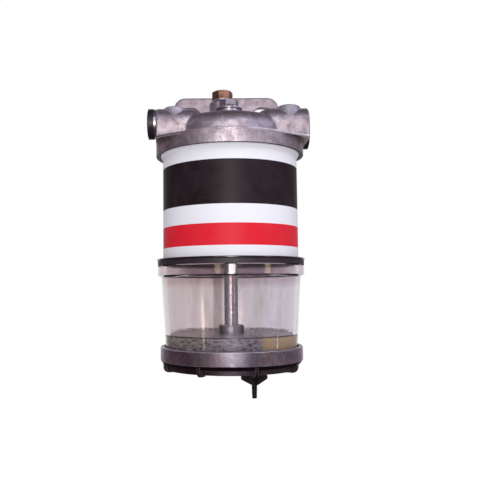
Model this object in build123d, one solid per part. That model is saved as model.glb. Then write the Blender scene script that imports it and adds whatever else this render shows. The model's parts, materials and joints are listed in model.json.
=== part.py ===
from build123d import *
import math
import os

# Fuel filter and water separator, in millimetres, with +Z up.
# The origin is the centre of the bracket's rear face, midway between the two mounting slots.
# The wall is at +Y. Every piece is drawn about the filter's own vertical axis and then moved
# by axis_to_wall, so that the bracket's rear face lands on the XZ plane.

# Filter axis and bracket
axis_to_wall = 50.0
bracket_t = 6.0
bracket_half_w = 37.0
bracket_top_z = 11.4
bracket_corner_r = 8.0
slot_spacing = 52.0
slot_r = 4.5
slot_length = 13.2
neck_half_w = 27.0
neck_drop = 2.6
neck_fillet = 3.0
bracket_edge_r = 1.2

# Cast head
lip_z = -40.7
skirt_gap = 0.8
skirt_wall = 1.9
skirt_h = 7.2
shelf_t = 1.4
shelf_edge_r = 0.6
shelf_edge_fillet = 0.35
shelf_w = 9.8
dome_draft = 0.9
dome_h = 14.0
dome_round = 9.5
dome_rise = 1.0
centre_boss_r = 7.3
centre_boss_h = 5.4
centre_boss_fillet = 1.5
cast_fillet = 2.0
roof_t = 4.2
dome_wall = 4.8
ring_wall_outer_r = 25.2
ring_wall_t = 3.6

# Ports, two along X at the front and two at the back
port_y = 15.0
port_drop = 22.9
port_boss_r = 9.25
port_inset_left = 1.2
port_overhang_right = 1.1
port_straight_l = 20.0
port_nose_l = 11.0
port_chamfer = 0.7
port_thread_r = 5.65
port_thread_l = 14.0
passage_r = 4.0
front_passage_l = 21.8
rear_passage_x = 12.0
sleeve_wall = 2.4
stub_setback = 11.4
stub_top_r = 6.9
stub_foot_r = 9.0
stub_rise_left = 0.45
stub_rise_right = 1.2
stub_depth = 8.0
stub_chamfer = 0.5

# Vent
vent_x = -3.5
vent_y = 20.0
vent_boss_r = 8.7
vent_boss_top_z = 1.2
vent_cone_h = 1.7
vent_cone_r = 7.0
vent_boss_flare = 1.8
vent_bore_r = 4.0
vent_bore_l = 11.0
vent_drill_r = 1.2
vent_hex_af = 12.0
vent_hex_h = 5.7
vent_hex_turn = 8.0
vent_shank_l = 8.6
vent_land_l = 1.8
vent_tip_r = 2.4
vent_washer_t = 0.9
vent_washer_w = 2.5

# Centre bolt
bolt_r = 4.3
bolt_flange_r = 8.5
bolt_flange_rim = 0.9
bolt_cone_h = 1.9
bolt_hex_af = 10.8
bolt_hex_h = 3.4
bolt_hex_turn = 9.0
bolt_washer_t = 1.5
bolt_washer_w = 3.1
hex_chamfer = 0.8
screw_tip_chamfer = 1.0

# Plugs of the unused ports
plug_disc_r = 9.25
plug_disc_t = 3.8
plug_edge = 0.5
plug_crown_w = 1.5
plug_shank_l = 11.0
plug_socket_af = 8.0
plug_socket_l = 6.5
plug_washer_t = 1.5
plug_washer_w = 3.15

# Filter element
can_r = 42.0
sheet_t = 0.8
element_engagement = 3.8
element_h = 69.2
seam_out = 1.5
seam_h = 3.7
seam_flare_h = 2.0
seam_in = 1.4
top_plate_drop = 1.2
bottom_rim_out = 3.9
bottom_rim_t = 1.15
bottom_rim_edge = 0.3
centre_tube_r = 9.0
feed_hole_n = 16
feed_hole_r = 1.1
feed_hole_inset = 2.3
outflow_hole_n = 8
outflow_hole_r = 1.4
outflow_gap = 1.2
pleat_n = 32
pleat_outer_gap = 4.0
pleat_inner_gap = 5.0
paper_t = 0.5
pleat_valley_w = 0.5
pleat_mouth_w = 3.2

# Seals
head_seal_inset = 0.4
head_seal_w = 2.8
head_seal_t = 2.2
inner_seal_inset = 0.2
bowl_seal_inset = 0.5
bowl_seal_w = 4.7
bowl_seal_t = 2.9
base_seal_t = 1.8

# Glass bowl
bowl_h = 51.1
bowl_rim_out = 3.5
bowl_rim_h = 6.0
bowl_rim_taper = 1.1
bowl_rim_edge = 0.55
bowl_neck_out = 1.2
bowl_foot_in = 1.5
glass_t = 2.9

# Base
platform_gap = 0.6
platform_rise = 7.4
platform_t = 4.6
rim_gap = 0.9
rim_wall = 2.4
rim_overlap = 1.9
rim_edge_r = 0.5
rim_lip_edge = 0.25
band_h = 8.3
chamfer_mid_in = 0.7
chamfer_mid_drop = 0.9
chamfer_low_in = 1.9
chamfer_low_drop = 2.4
wall_set_in = 2.8
wall_t = 3.4
wall_drop = 2.8
web_under_w = 3.8
base_boss_wall = 3.45
base_boss_rise = 5.3
under_boss_r = 14.4
under_boss_rise = 1.1
bolt_bore_floor = 2.5
fin_n = 8
fin_phase = 16.5
fin_t = 1.7
fin_top_in = 0.5
fin_foot_in = 0.9
fin_l = 7.5
fin_drop = 4.1
fin_top_rise = 3.4
fin_corner_r = 3.0

# Drain
drain_x = 11.9
drain_y = -25.0
drain_boss_wall = 2.75
drain_boss_drop = 3.8
drain_bore_r = 4.05
drain_bore_l = 11.0
drain_hole_r = 2.6
drain_gap = 0.5
drain_ring_t = 1.2
drain_nose_r = 2.2
drain_nose_l = 2.6
drain_nose_edge = 0.5
drain_shoulder_t = 1.2
drain_neck_r = 3.0
drain_neck_l = 2.4
thread_depth = 0.5
drain_cross_r = 0.8
drain_wing_span = 15.6
drain_wing_t = 3.4
drain_wing_end_h = 2.4
drain_wing_h = 5.7
drain_wing_turn = 22.0
drain_hub_r = 3.3
drain_hub_h = 1.0
drain_wing_corner_r = 1.1
drain_spigot_r = 1.6
drain_spigot_tip_r = 1.35
drain_spigot_l = 7.6
drain_spigot_bore_r = 0.8

# Fits
screw_fit = 0.05
slip_fit = 0.1
loose_fit = 0.3
drain_ring_clearance = 0.1

# How far a cut runs past the face that it opens, and how deep a joined piece is sunk in
past = 1.0

# Radii that follow from the can's radius and the walls and gaps above
seam_r = can_r + seam_out
seam_inner_r = can_r - seam_in
can_inner_r = can_r - sheet_t
bottom_rim_r = can_r + bottom_rim_out
feed_circle_r = can_inner_r - feed_hole_inset
outflow_circle_r = centre_tube_r + outflow_gap + outflow_hole_r
pleat_outer_r = can_inner_r - pleat_outer_gap
pleat_inner_r = centre_tube_r + pleat_inner_gap
skirt_inner_r = seam_r + skirt_gap
skirt_r = skirt_inner_r + skirt_wall
dome_foot_r = skirt_r - shelf_w
gallery_outer_r = dome_foot_r - dome_wall
ring_wall_inner_r = ring_wall_outer_r - ring_wall_t
port_face_left = skirt_r - port_inset_left
port_face_right = skirt_r + port_overhang_right
head_seal_outer_r = seam_r - head_seal_inset
head_seal_inner_r = head_seal_outer_r - head_seal_w
bowl_seal_outer_r = bottom_rim_r - bowl_seal_inset
bowl_seal_inner_r = bowl_seal_outer_r - bowl_seal_w
bowl_rim_r = can_r + bowl_rim_out
bowl_neck_r = can_r + bowl_neck_out
bowl_foot_r = can_r - bowl_foot_in
platform_r = bowl_foot_r - glass_t - platform_gap
rim_inner_r = bowl_foot_r + rim_gap
rim_outer_r = rim_inner_r + rim_wall
wall_outer_r = rim_outer_r - wall_set_in
wall_inner_r = wall_outer_r - wall_t
under_hollow_r = wall_inner_r - web_under_w
base_boss_r = bolt_r + screw_fit + base_boss_wall
drain_boss_r = drain_bore_r + drain_boss_wall

# Heights that follow from the sizes above
shelf_top_z = lip_z + skirt_h + shelf_t
dome_top_z = shelf_top_z + dome_h
roof_z = dome_top_z - roof_t
centre_boss_top_z = dome_top_z + dome_rise + centre_boss_h
flange_z = centre_boss_top_z + bolt_washer_t
element_top_z = lip_z + element_engagement
element_bottom_z = element_top_z - element_h
seat_z = element_top_z + loose_fit
top_plate_z = element_top_z - top_plate_drop
can_bottom_z = element_bottom_z + bottom_rim_t
bowl_top_z = element_bottom_z - bowl_seal_t
bowl_bottom_z = bowl_top_z - bowl_h
groove_z = bowl_bottom_z - base_seal_t
rim_top_z = bowl_bottom_z + rim_overlap
platform_z = rim_top_z + platform_rise
platform_under_z = platform_z - platform_t
band_z = rim_top_z - band_h
base_low_z = band_z - chamfer_low_drop
wall_z = base_low_z - wall_drop
base_boss_z = platform_z + base_boss_rise
under_boss_z = wall_z + under_boss_rise
drain_boss_z = base_low_z - drain_boss_drop
drain_seat_z = drain_boss_z + drain_bore_l
bracket_front_y = axis_to_wall - bracket_t


def ring(outer_r, inner_r, low_z, high_z):
    """A plain flat ring about the filter axis."""
    tube = Cylinder(outer_r, high_z - low_z) - Cylinder(inner_r, high_z - low_z)
    return Pos(0, 0, (low_z + high_z) / 2) * tube


def rod(radius, low_z, high_z, x=0.0, y=0.0):
    """A vertical cylinder between two heights."""
    return Pos(x, y, (low_z + high_z) / 2) * Cylinder(radius, high_z - low_z)


def bar(radius, from_x, to_x, y, z):
    """A horizontal cylinder along X between two stations."""
    return Pos((from_x + to_x) / 2, y, z) * Rot(0, 90, 0) * Cylinder(radius, abs(to_x - from_x))


def turned(points):
    """A solid turned about the filter axis from a closed outline of (radius, height) points."""
    outline = Polyline(*[(r, 0, z) for r, z in points], close=True)
    return revolve(make_face(outline), Axis.Z)


def hexagon_bar(across_flats, low_z, high_z, turn):
    """A hexagonal prism with its top corners turned off."""
    corner_r = across_flats / math.sqrt(3)
    sketch = RegularPolygon(corner_r, 6, rotation=turn)
    prism = Pos(0, 0, low_z) * extrude(sketch, high_z - low_z)
    flat_r = across_flats / 2
    crown = [(0, low_z), (corner_r + past, low_z), (corner_r + past, high_z - hex_chamfer)]
    crown += [(flat_r, high_z), (0, high_z)]
    return prism & turned(crown)


def head_plan():
    """Plan of the head's shelf: the round skirt, drawn out to the port faces and the bracket."""
    front = port_y + port_boss_r + shelf_t / 2
    corners = [
        (-port_face_left, -front),
        (port_face_right, -front),
        (port_face_right, front),
        (-port_face_left, front),
        (-bracket_half_w + bracket_corner_r, axis_to_wall),
        (bracket_half_w - bracket_corner_r, axis_to_wall),
    ]
    round_plan = Circle(skirt_r)
    tips = [Pos(x, y) * Circle(shelf_edge_r) for x, y in [inward(c, shelf_edge_r) for c in corners]]
    outline = Sketch() + round_plan
    for tip in tips:
        outline += tip
    return make_hull(outline.edges())


def inward(corner, amount):
    """A corner moved towards the axis by the same amount in X and Y."""
    x, y = corner
    return x - math.copysign(amount, x), y - math.copysign(amount, y)


def head_dome():
    """The head's dome and centre boss, as one turned body."""
    foot_z = shelf_top_z - shelf_t
    shoulder = (dome_foot_r - dome_draft, dome_top_z)
    neck = (centre_boss_r, dome_top_z + dome_rise)
    points = [(0, foot_z), (dome_foot_r, foot_z), (dome_foot_r, shelf_top_z), shoulder,
              neck, (centre_boss_r, centre_boss_top_z), (0, centre_boss_top_z)]
    face = make_face(Polyline(*[(r, 0, z) for r, z in points], close=True))
    face = fillet(face.vertices().sort_by_distance((shoulder[0], 0, shoulder[1]))[0], dome_round)
    face = fillet(face.vertices().sort_by_distance((neck[0], 0, neck[1]))[0], centre_boss_fillet)
    return revolve(face, Axis.Z)


def port_boss(side, y):
    """One port boss: round on top, straight-sided down to the shelf, with a rounded inner end."""
    face = port_face_right if side > 0 else port_face_left
    inner_x = port_face_left - port_straight_l
    middle = side * (face + inner_x) / 2
    below = -port_drop - (shelf_top_z - shelf_t)
    barrel = bar(port_boss_r, side * face, side * inner_x, y, -port_drop)
    barrel += Pos(middle, y, -port_drop - below / 2) * Box(face - inner_x, 2 * port_boss_r, below)
    mouth = barrel.faces().sort_by(Axis.X)[-1 if side > 0 else 0]
    barrel = chamfer(mouth.edges(), port_chamfer)
    arc = EllipticalCenterArc((0, 0), port_nose_l, port_boss_r, start_angle=0, arc_size=90)
    nose = revolve(make_face(Polyline((port_nose_l, 0), (0, 0), (0, port_boss_r)) + arc), Axis.X)
    turn = 180 if side > 0 else 0
    return barrel + Pos(side * inner_x, y, -port_drop) * Rot(0, 0, turn) * nose


def port_stub(side, y):
    """The low round pad on top of a port boss."""
    face = port_face_right if side > 0 else port_face_left
    stub = Cone(stub_foot_r, stub_top_r, stub_depth)
    stub = chamfer(stub.edges().sort_by(Axis.Z)[-1], stub_chamfer)
    rise = stub_rise_right if side > 0 else stub_rise_left
    top_z = -port_drop + port_boss_r + rise
    return Pos(side * (face - stub_setback), y, top_z - stub_depth / 2) * stub


def ported_dome():
    """The dome and its four port bosses, with cast fillets where they meet."""
    body = head_dome()
    for side in (-1, 1):
        for y in (-port_y, port_y):
            body += port_boss(side, y)
    for side in (-1, 1):
        for y in (-port_y, port_y):
            body = fillet(meeting_edges(body, side, y), cast_fillet)
    return body


def meeting_edges(body, side, y):
    """The curved edges where one port boss runs into the dome."""
    curved = body.edges().filter_by(lambda edge: edge.geom_type in (GeomType.BSPLINE, GeomType.HYPERBOLA))
    chosen = []
    for edge in curved:
        middle = edge.position_at(0.5)
        in_dome = math.hypot(middle.X, middle.Y) < dome_foot_r
        if in_dome and middle.X * side > centre_boss_r and middle.Y * y > 0:
            chosen.append(edge)
    return chosen


def bracket():
    """The mounting plate with its two slots, and the neck that joins it to the dome."""
    low_z = shelf_top_z - shelf_t
    plate_h = bracket_top_z - low_z
    sketch = Rectangle(2 * bracket_half_w, plate_h)
    top_corners = sketch.vertices().group_by(Axis.Y)[-1]
    sketch = fillet(top_corners, bracket_corner_r)
    for side in (-1, 1):
        slot = SlotOverall(slot_length, 2 * slot_r)
        sketch -= Pos(side * slot_spacing / 2, -(bracket_top_z + low_z) / 2) * slot
    plate = Rot(90, 0, 0) * extrude(sketch, -bracket_t)
    plate = Pos(0, bracket_front_y, (bracket_top_z + low_z) / 2) * plate
    neck_top = dome_top_z - neck_drop
    neck_front = port_y + port_boss_r / 2
    neck = Box(2 * neck_half_w, bracket_front_y - neck_front, neck_top - low_z)
    neck = Pos(0, (bracket_front_y + neck_front) / 2, (neck_top + low_z) / 2) * neck
    neck = fillet(neck.edges().filter_by(Axis.Y).group_by(Axis.Z)[-1], neck_fillet)
    front = plate.faces().sort_by(Axis.Y)[0]
    plate = fillet(front.outer_wire().edges(), bracket_edge_r)
    return plate + neck


def vent_boss():
    """The upright boss that takes the vent plug, flared at its foot."""
    flare_r = vent_boss_r + vent_boss_flare
    points = [(0, roof_z), (flare_r, roof_z), (flare_r, dome_top_z), (vent_boss_r, dome_top_z),
              (vent_boss_r, vent_boss_top_z - vent_cone_h), (vent_cone_r, vent_boss_top_z),
              (0, vent_boss_top_z)]
    face = make_face(Polyline(*[(r, 0, z) for r, z in points], close=True))
    root = face.vertices().sort_by_distance((vent_boss_r, 0, dome_top_z))[0]
    face = fillet(root, vent_boss_flare - slip_fit)
    return Pos(vent_x, vent_y, 0) * revolve(face, Axis.Z)


def head_hollows():
    """The room for the element, its seal groove and the two fuel galleries."""
    room = rod(skirt_inner_r, lip_z - past, seat_z)
    groove_top = element_top_z + head_seal_t
    groove = ring(head_seal_outer_r + slip_fit, head_seal_inner_r - slip_fit, seat_z - past, groove_top)
    gallery = ring(gallery_outer_r, ring_wall_outer_r, seat_z - past, roof_z)
    sleeves = [bar(passage_r + sleeve_wall, side * rear_passage_x, side * port_face_left, port_y, -port_drop)
               for side in (-1, 1)]
    gallery = gallery - sleeves[0] - sleeves[1]
    chamber = rod(ring_wall_inner_r, seat_z - past, roof_z)
    return room + groove + gallery + chamber


def port_holes():
    """Threaded mouths and the passages behind them."""
    holes = Part()
    for side, face in ((-1, port_face_left), (1, port_face_right)):
        for y, inner_x in ((-port_y, port_face_left - front_passage_l), (port_y, rear_passage_x)):
            holes += bar(port_thread_r, side * (face + past), side * (face - port_thread_l), y, -port_drop)
            holes += bar(passage_r, side * (face - past), side * inner_x, y, -port_drop)
    return holes


def filter_head():
    """The cast head, with bracket, ports, vent boss and fuel galleries in one piece."""
    shelf = Pos(0, 0, shelf_top_z - shelf_t) * extrude(head_plan(), shelf_t)
    shelf = fillet(shelf.edges().group_by(Axis.Z)[-1], shelf_edge_fillet)
    head = ported_dome() + shelf + rod(skirt_r, lip_z, shelf_top_z - shelf_t / 2)
    for side in (-1, 1):
        for y in (-port_y, port_y):
            head += port_stub(side, y)
    head += bracket() + vent_boss()
    head -= head_hollows()
    head -= port_holes()
    head -= rod(bolt_r + slip_fit, roof_z - past, centre_boss_top_z + past)
    vent_floor = vent_boss_top_z - vent_bore_l
    head -= rod(vent_bore_r, vent_floor, vent_boss_top_z + past, vent_x, vent_y)
    head -= rod(vent_drill_r, roof_z - past, vent_floor + past, vent_x, vent_y)
    return head


def centre_bolt():
    """The long clamping bolt: flanged hexagon head and a shank that screws into the base."""
    cone_z = flange_z + bolt_flange_rim
    hex_z = cone_z + bolt_cone_h
    end_z = under_boss_z + bolt_bore_floor + loose_fit
    hex_r = bolt_hex_af / 2
    tip = screw_tip_chamfer
    body = turned([(0, end_z), (bolt_r - tip, end_z), (bolt_r, end_z + tip), (bolt_r, flange_z),
                   (bolt_flange_r, flange_z), (bolt_flange_r, cone_z), (hex_r, hex_z), (0, hex_z)])
    return body + hexagon_bar(bolt_hex_af, cone_z, hex_z + bolt_hex_h, bolt_hex_turn)


def vent_plug():
    """Brass plug with a hexagon head, loosened to let air out. Its shank has the thread's root size."""
    seat = vent_boss_top_z + vent_washer_t
    radius = vent_bore_r - screw_fit
    end_z = vent_boss_top_z - vent_shank_l
    land_z = end_z + radius - vent_tip_r + vent_land_l
    core_r = radius - thread_depth
    shank = turned([(0, end_z), (vent_tip_r, end_z), (radius, end_z + radius - vent_tip_r), (radius, land_z),
                    (core_r, land_z), (core_r, seat), (0, seat)])
    head = hexagon_bar(vent_hex_af, seat, seat + vent_hex_h, vent_hex_turn)
    return Pos(vent_x, vent_y, 0) * (shank + head)


def vent_washer():
    """Soft washer under the vent plug's head."""
    bore_r = vent_bore_r + slip_fit
    washer = ring(bore_r + vent_washer_w, bore_r, vent_boss_top_z, vent_boss_top_z + vent_washer_t)
    return Pos(vent_x, vent_y, 0) * washer


def port_plug(side, y):
    """Plug of an unused port, with a socket for a key in its outer face."""
    face = port_face_right if side > 0 else port_face_left
    seat = face + plug_washer_t
    outer = seat + plug_disc_t
    radius = port_thread_r - screw_fit
    end = face - plug_shank_l
    tip = screw_tip_chamfer
    body = turned([(0, end), (radius - tip, end), (radius, end + tip), (radius, seat), (plug_disc_r, seat),
                   (plug_disc_r, outer - plug_edge), (plug_disc_r - plug_crown_w, outer), (0, outer)])
    socket = RegularPolygon(plug_socket_af / math.sqrt(3), 6)
    body -= Pos(0, 0, outer - plug_socket_l) * extrude(socket, plug_socket_l + past)
    return Pos(0, y, -port_drop) * Rot(0, side * 90, 0) * body


def port_plug_washer(side, y):
    """Washer between a port's face and its plug."""
    face = port_face_right if side > 0 else port_face_left
    bore_r = port_thread_r + slip_fit
    flat = ring(bore_r + plug_washer_w, bore_r, face, face + plug_washer_t)
    return Pos(0, y, -port_drop) * Rot(0, side * 90, 0) * flat


def element_can():
    """The element's drawn steel can: a straight wall with a folded seam at the top."""
    flare_z = element_top_z - seam_h
    return turned([(can_inner_r, can_bottom_z), (can_r, can_bottom_z), (can_r, flare_z - seam_flare_h),
                   (seam_r, flare_z), (seam_r, element_top_z - sheet_t), (seam_r - sheet_t, element_top_z),
                   (seam_inner_r + sheet_t, element_top_z), (seam_inner_r, element_top_z - sheet_t),
                   (seam_inner_r, top_plate_z), (can_inner_r, top_plate_z)])


def element_top_plate():
    """Top end plate, with a ring of feed holes near its edge."""
    plate = ring(can_inner_r - screw_fit, centre_tube_r + screw_fit, top_plate_z - sheet_t, top_plate_z)
    for spot in PolarLocations(feed_circle_r, feed_hole_n):
        plate -= spot * rod(feed_hole_r, top_plate_z - sheet_t - past, top_plate_z + past)
    return plate


def element_bottom_plate():
    """Bottom end plate, with a rolled rim that stands out under the can."""
    edge = bottom_rim_edge
    hole_r = centre_tube_r + screw_fit
    plate = turned([(hole_r, element_bottom_z), (bottom_rim_r - edge, element_bottom_z),
                    (bottom_rim_r, element_bottom_z + edge), (bottom_rim_r, can_bottom_z - edge),
                    (bottom_rim_r - edge, can_bottom_z), (hole_r, can_bottom_z)])
    for spot in PolarLocations(outflow_circle_r, outflow_hole_n):
        plate -= spot * rod(outflow_hole_r, element_bottom_z - past, can_bottom_z + past)
    return plate


def pleat_outline(tip_r, tip_w, root_r, root_w):
    """A closed star outline: a land of one width at each tip and another at each root."""
    points = []
    step = 2 * math.pi / pleat_n
    for i in range(pleat_n):
        for radius, width, turn in ((tip_r, tip_w, 0.0), (root_r, root_w, 0.5)):
            half = width / (2 * radius)
            for sign in (-1, 1):
                angle = step * (i + turn) + sign * half
                points.append((radius * math.cos(angle), radius * math.sin(angle)))
    return make_face(Polyline(*points, close=True))


def pleated_paper():
    """The filter paper, folded into upright pleats between the two end plates."""
    tip_w = 2 * math.pi * pleat_outer_r / pleat_n - pleat_mouth_w
    root_w = pleat_valley_w
    outer = pleat_outline(pleat_outer_r, tip_w, pleat_inner_r + paper_t, root_w)
    inner = pleat_outline(pleat_outer_r - paper_t, tip_w - 2 * paper_t, pleat_inner_r, root_w + 2 * paper_t)
    low_z = can_bottom_z
    return Pos(0, 0, low_z) * extrude(outer - inner, top_plate_z - sheet_t - low_z)


def glass_bowl():
    """The clear bowl: a tapered tube open at both ends, with a thick rim at the top."""
    rim_low = bowl_top_z - bowl_rim_h
    neck_z = rim_low - bowl_rim_taper
    edge = bowl_rim_edge
    return turned([(bowl_neck_r - glass_t, bowl_top_z), (bowl_rim_r - edge, bowl_top_z),
                   (bowl_rim_r, bowl_top_z - edge), (bowl_rim_r, rim_low), (bowl_neck_r, neck_z),
                   (bowl_foot_r, bowl_bottom_z), (bowl_foot_r - glass_t, bowl_bottom_z),
                   (bowl_neck_r - glass_t, neck_z)])


def base_fin():
    """One grip fin under the base, drawn in the plane of the axis and centred on its thickness."""
    top_z = base_low_z + fin_top_rise
    foot_z = base_low_z - fin_drop
    outer_r = rim_outer_r - fin_top_in
    root_r = outer_r - fin_l
    outline = Polyline((root_r, 0, top_z), (outer_r, 0, top_z), (rim_outer_r - fin_foot_in, 0, foot_z),
                       (root_r, 0, foot_z), close=True)
    face = make_face(outline)
    corner = face.vertices().sort_by(Axis.Z)[0:2].sort_by(Axis.X)[-1]
    return extrude(fillet(corner, fin_corner_r), fin_t / 2, both=True)


def bowl_base():
    """The cast base that carries the bowl, the drain and the centre bolt's thread."""
    edge = rim_edge_r
    lip = rim_lip_edge
    body = turned([(0, base_boss_z), (base_boss_r - edge, base_boss_z), (base_boss_r, base_boss_z - edge),
                   (base_boss_r, platform_z), (platform_r - edge, platform_z),
                   (platform_r, platform_z - edge), (platform_r, groove_z), (rim_inner_r, groove_z),
                   (rim_inner_r, rim_top_z - lip), (rim_inner_r + lip, rim_top_z),
                   (rim_outer_r - edge, rim_top_z), (rim_outer_r, rim_top_z - edge), (rim_outer_r, band_z),
                   (rim_outer_r - chamfer_mid_in, band_z - chamfer_mid_drop),
                   (rim_outer_r - chamfer_low_in, base_low_z),
                   (wall_outer_r, base_low_z), (wall_outer_r, wall_z), (wall_inner_r, wall_z),
                   (wall_inner_r, base_low_z), (under_hollow_r, base_low_z),
                   (under_hollow_r, platform_under_z), (under_boss_r, platform_under_z),
                   (under_boss_r, under_boss_z), (0, under_boss_z)])
    fin = base_fin()
    for i in range(fin_n):
        body += Rot(0, 0, fin_phase - 90 + i * 360 / fin_n) * fin
    body += rod(drain_boss_r, drain_boss_z, platform_under_z + past, drain_x, drain_y)
    body -= rod(bolt_r + screw_fit, under_boss_z + bolt_bore_floor, base_boss_z + past)
    body -= rod(drain_bore_r, drain_boss_z - past, drain_seat_z, drain_x, drain_y)
    body -= rod(drain_hole_r, drain_seat_z - past, platform_z + past, drain_x, drain_y)
    return body


def drain_screw():
    """Winged drain screw: a nose that closes the drain, a shank for the thread, wings and a spigot."""
    wing_top = drain_boss_z - drain_gap
    wing_low = wing_top - drain_wing_h
    shoulder_z = drain_seat_z - drain_ring_t
    nose_z = shoulder_z + drain_nose_l
    neck_top = shoulder_z - drain_shoulder_t
    neck_low = neck_top - drain_neck_l
    radius = drain_bore_r - screw_fit
    core_r = radius - thread_depth
    tip_z = wing_low - drain_spigot_l
    stem = turned([(0, tip_z), (drain_spigot_tip_r, tip_z), (drain_spigot_r, wing_low),
                   (drain_hub_r, wing_top - drain_hub_h), (drain_hub_r, wing_top), (core_r, wing_top),
                   (core_r, neck_low), (drain_neck_r, neck_low), (drain_neck_r, neck_top),
                   (radius, neck_top), (radius, shoulder_z),
                   (drain_nose_r, shoulder_z), (drain_nose_r, nose_z - drain_nose_edge),
                   (drain_nose_r - drain_nose_edge, nose_z), (0, nose_z)])
    half = drain_wing_span / 2
    outline = Polyline((-half, 0, wing_top), (half, 0, wing_top), (half, 0, wing_top - drain_wing_end_h),
                       (drain_spigot_r, 0, wing_low), (-drain_spigot_r, 0, wing_low),
                       (-half, 0, wing_top - drain_wing_end_h), close=True)
    wings = make_face(outline)
    ends = wings.vertices().group_by(Axis.X)
    wings = fillet(ends[0] + ends[-1], drain_wing_corner_r)
    wings = extrude(wings, drain_wing_t / 2, both=True)
    screw = stem + Rot(0, 0, drain_wing_turn) * wings
    screw -= rod(drain_spigot_bore_r, tip_z - past, neck_top - drain_neck_l / 2)
    screw -= bar(drain_cross_r, -drain_neck_r - past, drain_neck_r + past, 0, (neck_top + neck_low) / 2)
    return Pos(drain_x, drain_y, 0) * screw


def drain_ring():
    """Rubber ring round the drain screw's nose, pressed on the seat in the base."""
    return Pos(drain_x, drain_y, 0) * ring(drain_bore_r - drain_ring_clearance, drain_nose_r + screw_fit,
                                           drain_seat_z - drain_ring_t, drain_seat_z)


parts = {
    "filter_head": filter_head(),
    "centre_bolt": centre_bolt(),
    "centre_bolt_washer": ring(bolt_r + slip_fit + bolt_washer_w, bolt_r + slip_fit,
                               centre_boss_top_z, flange_z),
    "vent_plug": vent_plug(),
    "vent_washer": vent_washer(),
    "front_left_port_plug": port_plug(-1, -port_y),
    "front_left_plug_washer": port_plug_washer(-1, -port_y),
    "rear_right_port_plug": port_plug(1, port_y),
    "rear_right_plug_washer": port_plug_washer(1, port_y),
    "head_seal_ring": ring(head_seal_outer_r, head_seal_inner_r, element_top_z, element_top_z + head_seal_t),
    "element_inner_seal": ring(ring_wall_outer_r - inner_seal_inset, ring_wall_inner_r + inner_seal_inset,
                               top_plate_z, seat_z),
    "element_can": element_can(),
    "element_top_plate": element_top_plate(),
    "element_bottom_plate": element_bottom_plate(),
    "element_centre_tube": ring(centre_tube_r, centre_tube_r - sheet_t, element_bottom_z, top_plate_z),
    "pleated_paper": pleated_paper(),
    "bowl_seal_ring": ring(bowl_seal_outer_r, bowl_seal_inner_r, bowl_top_z, element_bottom_z),
    "glass_bowl": glass_bowl(),
    "base_seal_ring": ring(rim_inner_r - slip_fit, platform_r + slip_fit, groove_z, bowl_bottom_z),
    "bowl_base": bowl_base(),
    "drain_ring": drain_ring(),
    "drain_screw": drain_screw(),
}

os.makedirs("parts", exist_ok=True)
for name, shape in parts.items():
    export_step(Pos(0, -axis_to_wall, 0) * shape, f"parts/{name}.step")
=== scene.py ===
import bmesh
import bpy
import json
import math
from mathutils import Matrix, Vector


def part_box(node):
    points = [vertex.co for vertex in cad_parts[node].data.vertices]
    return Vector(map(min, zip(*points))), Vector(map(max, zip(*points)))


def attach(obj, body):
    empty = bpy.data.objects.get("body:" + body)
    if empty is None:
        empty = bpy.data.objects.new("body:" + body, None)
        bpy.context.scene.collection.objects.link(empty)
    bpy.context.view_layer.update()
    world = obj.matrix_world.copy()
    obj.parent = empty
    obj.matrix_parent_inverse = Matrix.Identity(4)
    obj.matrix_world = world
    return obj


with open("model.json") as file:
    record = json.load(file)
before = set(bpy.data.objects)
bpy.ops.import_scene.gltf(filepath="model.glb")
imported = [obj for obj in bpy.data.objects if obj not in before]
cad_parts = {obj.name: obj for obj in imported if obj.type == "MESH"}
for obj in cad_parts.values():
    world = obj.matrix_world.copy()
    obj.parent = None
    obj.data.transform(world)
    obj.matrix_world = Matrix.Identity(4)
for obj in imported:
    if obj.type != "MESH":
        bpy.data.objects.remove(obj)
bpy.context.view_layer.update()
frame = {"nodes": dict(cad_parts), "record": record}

mm = 0.001
nodes = frame["nodes"]
filterAxis = Vector((0.0, -50.0 * mm, 0.0))      # the filter's own upright axis
crispAngle = 0.6                                  # radians: edges sharper than this stay sharp
print("stage: frame loaded,", len(nodes), "nodes")


# Small helpers for node trees and colours

white, black = (1.0, 1.0, 1.0, 1.0), (0.0, 0.0, 0.0, 1.0)
anyBounce = 0.5          # a ray depth above this means at least one such bounce
noiseMiddle = 0.5        # what a noise texture is on average
maskSamples = 6          # rays for rounded edges and for corners that hold dirt


def rgb(red, green, blue):
    # 0-255 screen colour to the linear one that the shader wants
    def linear(value):
        value = value / 255.0
        return value / 12.92 if value <= 0.04045 else ((value + 0.055) / 1.055) ** 2.4
    return (linear(red), linear(green), linear(blue), 1.0)


def put(tree, kind, inputs=None, **settings):
    # adds a node, sets its options, then fills or links its sockets
    node = tree.nodes.new(kind)
    for key, value in settings.items():
        setattr(node, key, value)
    for key, value in (inputs or {}).items():
        if isinstance(value, bpy.types.NodeSocket):
            tree.links.new(value, node.inputs[key])
        else:
            node.inputs[key].default_value = value
    return node


def calc(tree, operation, first, second=0.0, third=0.0, clamp=False):
    return put(tree, "ShaderNodeMath", {0: first, 1: second, 2: third},
               operation=operation, use_clamp=clamp).outputs[0]


def product(tree, first, *others):
    for other in others:
        first = calc(tree, "MULTIPLY", first, other)
    return first


def scaleAndAdd(tree, value, scale, base, clamp=False):
    return calc(tree, "MULTIPLY_ADD", value, scale, base, clamp=clamp)


def isOver(tree, value, limit):
    return calc(tree, "GREATER_THAN", value, limit)


def distanceTo(tree, value, middle):
    return calc(tree, "ABSOLUTE", calc(tree, "SUBTRACT", value, middle))


def vectorCalc(tree, operation, first, second=(0.0, 0.0, 0.0)):
    return put(tree, "ShaderNodeVectorMath", {0: first, 1: second}, operation=operation).outputs


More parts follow.
